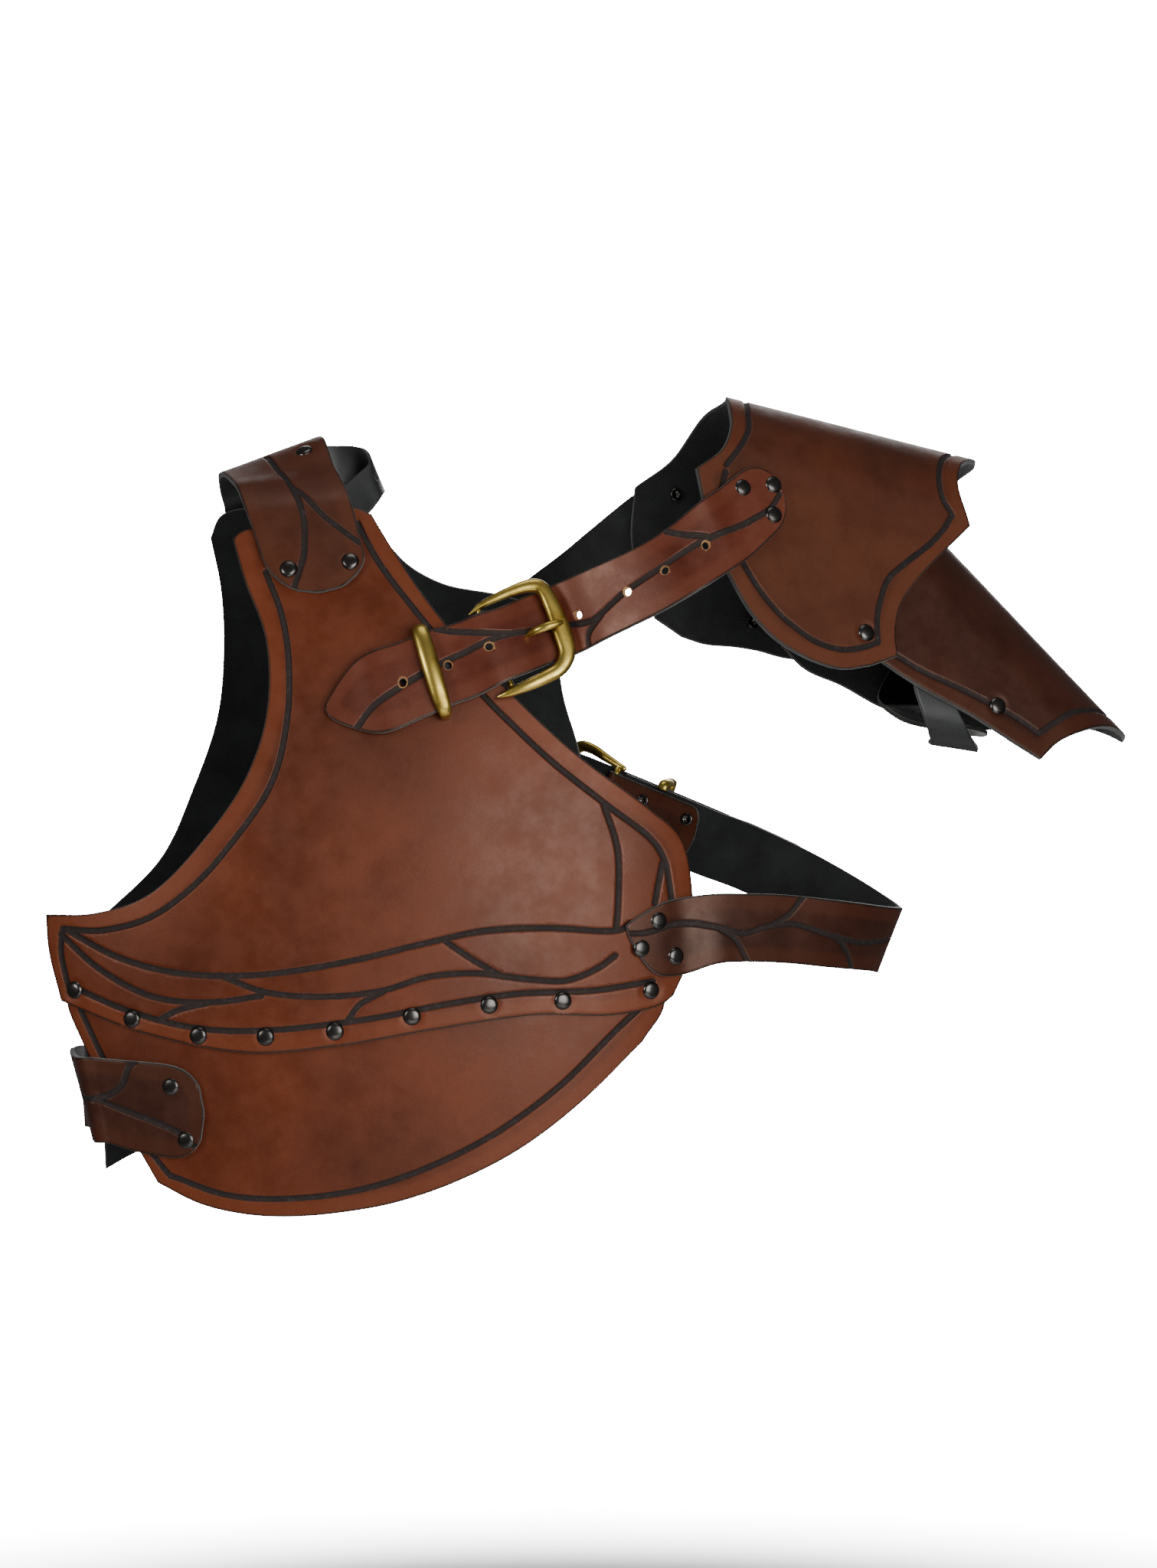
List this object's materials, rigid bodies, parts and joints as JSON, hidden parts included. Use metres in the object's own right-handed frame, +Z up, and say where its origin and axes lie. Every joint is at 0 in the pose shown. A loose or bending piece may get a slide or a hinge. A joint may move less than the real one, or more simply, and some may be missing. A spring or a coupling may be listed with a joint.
{
  "type": "leather chest armour",
  "caption": "Hollow leather chest armour as worn on no one: front and back plates, a broad shoulder strap, an arched shoulder plate of lames, buckled straps and domed rivets.",
  "frame": {"origin": "the wearer's right shoulder, under the crest of the shoulder strap", "axes": "+Z up, -Y towards the wearer's front, +X towards the wearer's left arm and the shoulder plate"},
  "size_m": [0.5926, 0.2218, 0.4447],
  "materials": {
    "chestnut_leather": "satin, tooled and hand dyed",
    "dark_brown_leather": "satin",
    "black_leather": "smooth outside, suede inside",
    "antique_brass": "antique",
    "rivet_metal": "dark nickel"
  },
  "bodies": {
    "root": {"front_upper": "chestnut_leather", "front_lower": "chestnut_leather", "back_plate": "black_leather", "shoulder_strap": "chestnut_leather", "shoulder_tail": "black_leather", "chest_strap": "chestnut_leather", "chest_buckle": "antique_brass", "chest_prong": "antique_brass", "chest_buckle_tab": "black_leather", "chest_keeper": "antique_brass", "pauldron_upper": "chestnut_leather", "pauldron_lower": "dark_brown_leather", "side_strap_left": "dark_brown_leather", "side_buckle_tab": "dark_brown_leather", "side_buckle": "antique_brass", "side_keeper": "antique_brass", "side_prong": "antique_brass", "side_strap_back": "black_leather", "side_strap_right": "dark_brown_leather", "neck_strap": "black_leather", "arm_loop": "black_leather", "arm_strap": "black_leather", "seam_rivet_1": "rivet_metal", "seam_rivet_2": "rivet_metal", "seam_rivet_3": "rivet_metal", "seam_rivet_4": "rivet_metal", "seam_rivet_5": "rivet_metal", "seam_rivet_6": "rivet_metal", "seam_rivet_7": "rivet_metal", "seam_rivet_8": "rivet_metal", "seam_rivet_9": "rivet_metal", "shoulder_rivet_front_1": "rivet_metal", "shoulder_rivet_front_2": "rivet_metal", "shoulder_rivet_back_1": "rivet_metal", "shoulder_rivet_back_2": "rivet_metal", "side_rivet_front_1": "rivet_metal", "side_rivet_front_2": "rivet_metal", "side_rivet_front_3": "rivet_metal", "side_rivet_back_1": "rivet_metal", "side_rivet_back_2": "rivet_metal", "low_rivet_front_1": "rivet_metal", "low_rivet_front_2": "rivet_metal", "low_rivet_back_1": "rivet_metal", "low_rivet_back_2": "rivet_metal", "neck_rivet_back_1": "rivet_metal", "neck_rivet_back_2": "rivet_metal", "chest_rivet_1": "rivet_metal", "chest_rivet_2": "rivet_metal", "chest_rivet_3": "rivet_metal", "neck_rivet_lame_1": "rivet_metal", "lame_rivet_1": "rivet_metal", "lame_rivet_2": "rivet_metal", "arm_rivet_1": "rivet_metal", "crest_rivet_1": "rivet_metal", "side_tab_rivet_1": "rivet_metal", "side_tab_rivet_2": "rivet_metal"}
  },
  "joints": []
}
